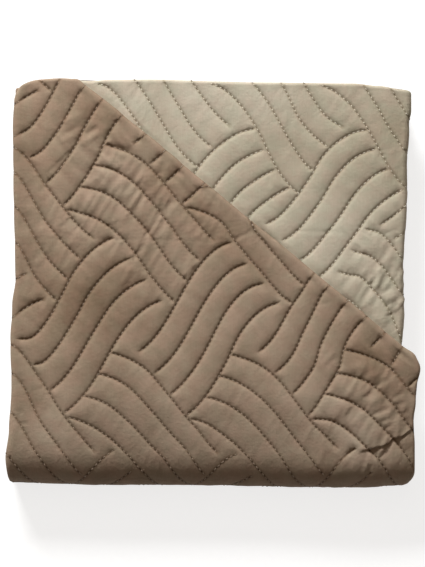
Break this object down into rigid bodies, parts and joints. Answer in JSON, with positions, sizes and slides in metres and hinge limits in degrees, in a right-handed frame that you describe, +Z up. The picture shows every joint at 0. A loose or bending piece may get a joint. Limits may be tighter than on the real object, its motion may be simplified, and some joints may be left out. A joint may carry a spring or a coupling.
{
  "type": "folded quilted coverlet",
  "caption": "Reversible quilted bed cover folded into a square packet, with one top corner turned under to show the paler reverse; it lies flat on a shelf, bed or table.",
  "frame": {"origin": "Centre of the packet's bounding box in X and Y, on the plane it rests on", "axes": "+Z is up, through the layers. +Y points to the side where the layers' end hems lie, and -Y to the front fold. +X points to the side where the tucked corner's tip lies"},
  "size_m": [0.4358, 0.4308, 0.0638],
  "materials": {
    "taupe_microfibre": "soft matt woven microfibre with a faint sheen",
    "cream_microfibre": "soft matt woven microfibre with a faint sheen"
  },
  "bodies": {
    "root": {"face_cloth": "taupe_microfibre", "reverse_cloth": "cream_microfibre"}
  },
  "joints": []
}
